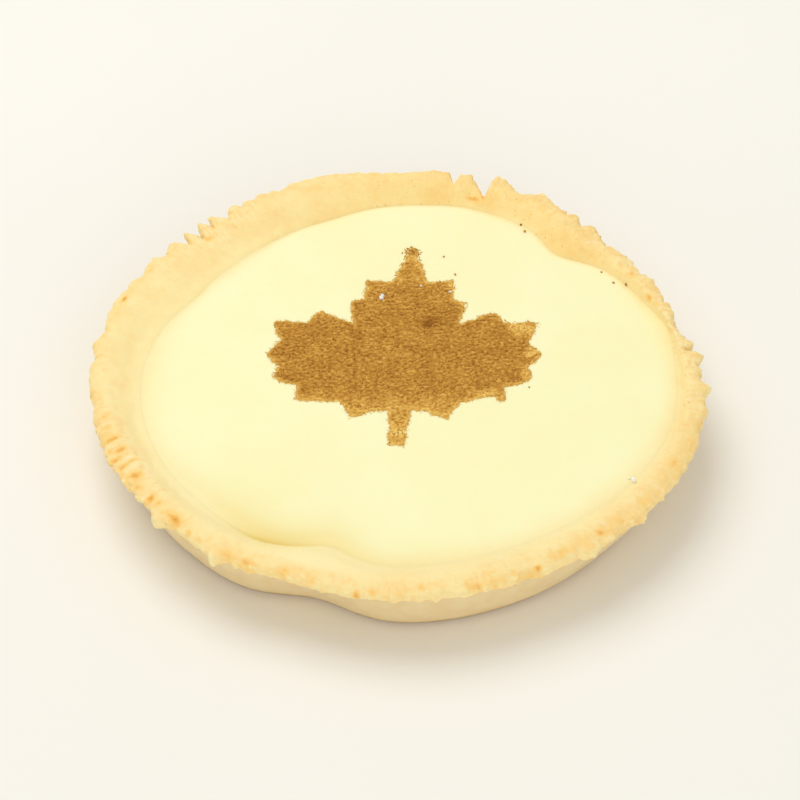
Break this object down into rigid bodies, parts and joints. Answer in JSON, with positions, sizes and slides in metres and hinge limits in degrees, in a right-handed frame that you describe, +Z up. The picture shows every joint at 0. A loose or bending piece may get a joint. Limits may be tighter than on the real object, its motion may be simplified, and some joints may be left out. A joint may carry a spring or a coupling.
{
  "type": "milk tartlet",
  "caption": "Round shallow milk tartlet: an uneven shortcrust case with a rough trimmed rim, filled with set custard and dusted with ground cinnamon in a leaf shape.",
  "frame": {"origin": "middle of the flat base, on the surface that the tartlet stands on", "axes": "+Z up, +Y towards the leaf's tip, +X to the right of the leaf as it is seen"},
  "size_m": [0.1014, 0.098, 0.0137],
  "materials": {
    "pastry": "pale baked shortcrust, matt, toasted in spots along the rough lip",
    "custard": "pale yellow set milk custard, smooth with a soft sheen",
    "cinnamon": "golden brown ground spice, matt and grainy"
  },
  "bodies": {
    "root": {"pastry_case": "pastry", "milk_custard": "custard", "cinnamon_leaf": "cinnamon"}
  },
  "joints": []
}
